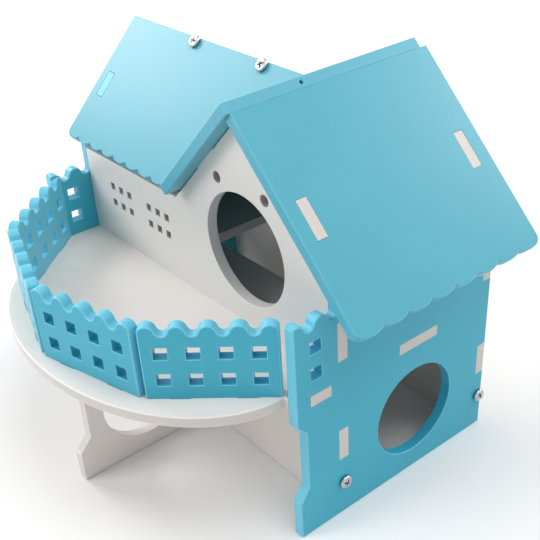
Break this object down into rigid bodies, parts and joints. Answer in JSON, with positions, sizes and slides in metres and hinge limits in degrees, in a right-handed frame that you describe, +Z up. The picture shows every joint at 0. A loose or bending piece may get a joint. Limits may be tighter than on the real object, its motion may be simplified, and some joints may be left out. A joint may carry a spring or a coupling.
{
  "type": "hamster house",
  "caption": "Two-storey small-pet house of slotted boards with a fenced curved deck, round entry holes and a crossed pair of gable roofs.",
  "frame": {"origin": "on the ground, under the middle of the house's bounding box", "axes": "+Z up; the deck, fence and door face -Y; +X runs from the main roof's end to the gable roof's eave"},
  "size_m": [0.209, 0.1782, 0.1725],
  "materials": {
    "board_light_cyan": "smooth matt coat, pale cyan",
    "board_cyan": "smooth matt coat, sky cyan",
    "board_blue": "smooth matt coat, sky blue",
    "board_white": "smooth matt coat, off-white",
    "screw_steel": "bright zinc or nickel plated"
  },
  "bodies": {
    "root": {"side_panel_right": "board_blue", "side_panel_left": "board_blue", "front_wall_upper": "board_white", "front_wall_lower": "board_white", "back_wall": "board_white", "deck_floor": "board_white", "middle_leg_panel": "board_white", "roof_main_front_slope": "board_light_cyan", "roof_main_back_slope": "board_light_cyan", "roof_gable_right_slope": "board_cyan", "roof_gable_left_slope": "board_cyan", "fence_panel_left_side": "board_blue", "fence_panel_left_front": "board_blue", "fence_panel_right_front": "board_blue", "fence_panel_right_side": "board_blue", "screw_right_front": "screw_steel", "screw_right_rear": "screw_steel", "screw_left_front": "screw_steel", "screw_left_rear": "screw_steel", "screw_main_ridge_1": "screw_steel", "screw_main_ridge_2": "screw_steel"}
  },
  "joints": []
}
